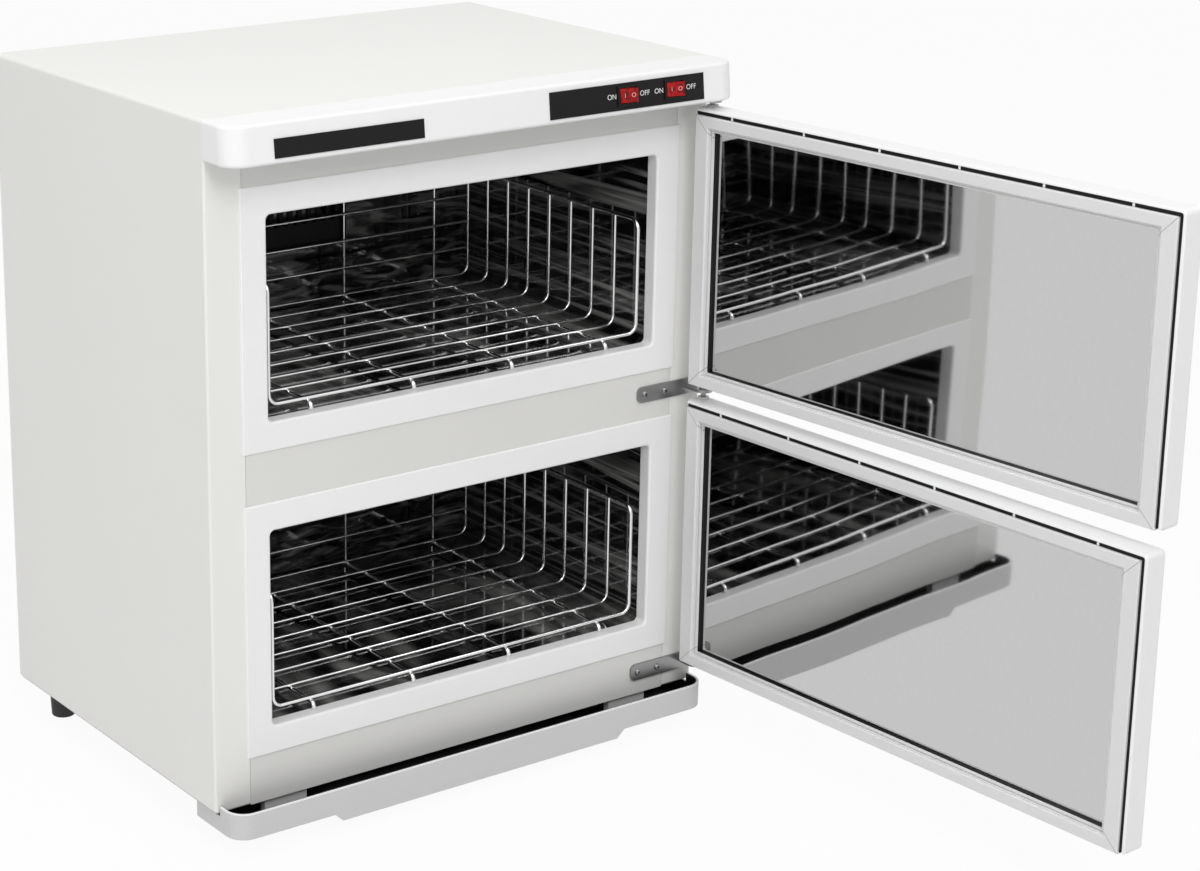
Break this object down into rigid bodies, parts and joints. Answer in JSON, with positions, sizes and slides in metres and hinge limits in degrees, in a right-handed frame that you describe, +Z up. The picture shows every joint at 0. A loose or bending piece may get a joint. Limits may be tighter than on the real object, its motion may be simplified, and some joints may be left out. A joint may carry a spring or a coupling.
{
  "type": "towel warming and sterilising cabinet",
  "caption": "Box-shaped warming and sterilising cabinet with stacked chambers behind side-hinged mirror-lined doors, pull-out wire baskets, rocker switches and a drip tray.",
  "frame": {"origin": "on the floor under the middle of the casing's width and depth", "axes": "+Z up from the floor through the four feet, the front with its doors faces -Y, +X to the hinge side"},
  "size_m": [0.4839, 0.7693, 0.545],
  "materials": {
    "casing_paint": "satin",
    "front_paint": "satin",
    "white_plastic": "satin",
    "grey_plastic": "satin",
    "black_plastic": "satin",
    "dark_plastic": "matte",
    "red_plastic": "gloss",
    "black_liner": "polished",
    "mirror_steel": "polished",
    "bright_wire": "polished",
    "steel": "satin",
    "galvanised": "matte",
    "pale_seal": "matte",
    "black_rubber": "matte",
    "heater_silicone": "matte",
    "wool": "matte",
    "foam": "matte",
    "lamp_glass": "gloss",
    "lamp_ceramic": "matte",
    "core_iron": "matte"
  },
  "bodies": {
    "cabinet": {"outer_casing": "casing_paint", "base_plate": "galvanised", "rear_panel": "casing_paint", "front_panel": "front_paint", "top_fascia": "white_plastic", "name_plate": "black_plastic", "switch_plate": "black_plastic", "feet": "black_rubber", "rear_screws": "steel", "cord_gland": "black_plastic", "thermal_fuse": "lamp_ceramic", "lamp_housing": "black_plastic", "lamp_bulb": "lamp_glass", "lamp_socket": "lamp_ceramic", "lamp_ballast": "core_iron", "terminal_block": "white_plastic", "hinge_pins": "steel", "hinge_screws": "steel", "left_tray_guide": "dark_plastic", "right_tray_guide": "dark_plastic", "top_hinge_bracket": "steel", "middle_hinge_bracket": "steel", "bottom_hinge_bracket": "steel", "heat_switch_housing": "black_plastic", "lamp_switch_housing": "black_plastic", "upper_window_frame": "white_plastic", "upper_liner": "black_liner", "upper_heater_mat": "heater_silicone", "upper_insulation": "wool", "upper_thermostat": "galvanised", "lower_window_frame": "white_plastic", "lower_liner": "black_liner", "lower_heater_mat": "heater_silicone", "lower_insulation": "wool", "lower_thermostat": "galvanised"},
    "upper_door": {"upper_door_shell": "white_plastic", "upper_door_inner_frame": "black_plastic", "upper_door_foam": "foam", "upper_door_mirror": "mirror_steel", "upper_door_gasket": "pale_seal", "upper_door_bushes": "white_plastic"},
    "lower_door": {"lower_door_shell": "white_plastic", "lower_door_inner_frame": "black_plastic", "lower_door_foam": "foam", "lower_door_mirror": "mirror_steel", "lower_door_gasket": "pale_seal", "lower_door_bushes": "white_plastic"},
    "upper_basket": {"upper_basket_floor": "bright_wire", "upper_basket_left_side": "bright_wire", "upper_basket_right_side": "bright_wire", "upper_basket_back": "bright_wire"},
    "lower_basket": {"lower_basket_floor": "bright_wire", "lower_basket_left_side": "bright_wire", "lower_basket_right_side": "bright_wire", "lower_basket_back": "bright_wire"},
    "tray": {"drip_tray": "grey_plastic"},
    "heat_switch": {"heat_rocker": "red_plastic"},
    "lamp_switch": {"lamp_rocker": "red_plastic"}
  },
  "joints": [
    {"name": "upper_door_hinge", "type": "hinge", "parent": "cabinet", "child": "upper_door", "pos_m": [0.2155, -0.173, 0.397], "axis": [0, 0, 1], "range_deg": [-95, 25]},
    {"name": "lower_door_hinge", "type": "hinge", "parent": "cabinet", "child": "lower_door", "pos_m": [0.2155, -0.173, 0.164], "axis": [0, 0, 1], "range_deg": [-93.5, 26.5]},
    {"name": "upper_basket_slide", "type": "slide", "parent": "cabinet", "child": "upper_basket", "axis": [0, -1, 0], "range_m": [0, 0.2]},
    {"name": "lower_basket_slide", "type": "slide", "parent": "cabinet", "child": "lower_basket", "axis": [0, -1, 0], "range_m": [0, 0.2]},
    {"name": "tray_slide", "type": "slide", "parent": "cabinet", "child": "tray", "axis": [0, -1, 0], "range_m": [0, 0.11]},
    {"name": "heat_switch_pivot", "type": "hinge", "parent": "cabinet", "child": "heat_switch", "pos_m": [0.117, -0.1905, 0.5305], "axis": [0, 0.1029, 0.9947], "range_deg": [0, 16]},
    {"name": "lamp_switch_pivot", "type": "hinge", "parent": "cabinet", "child": "lamp_switch", "pos_m": [0.1615, -0.1905, 0.5305], "axis": [0, 0.1029, 0.9947], "range_deg": [0, 16]}
  ]
}
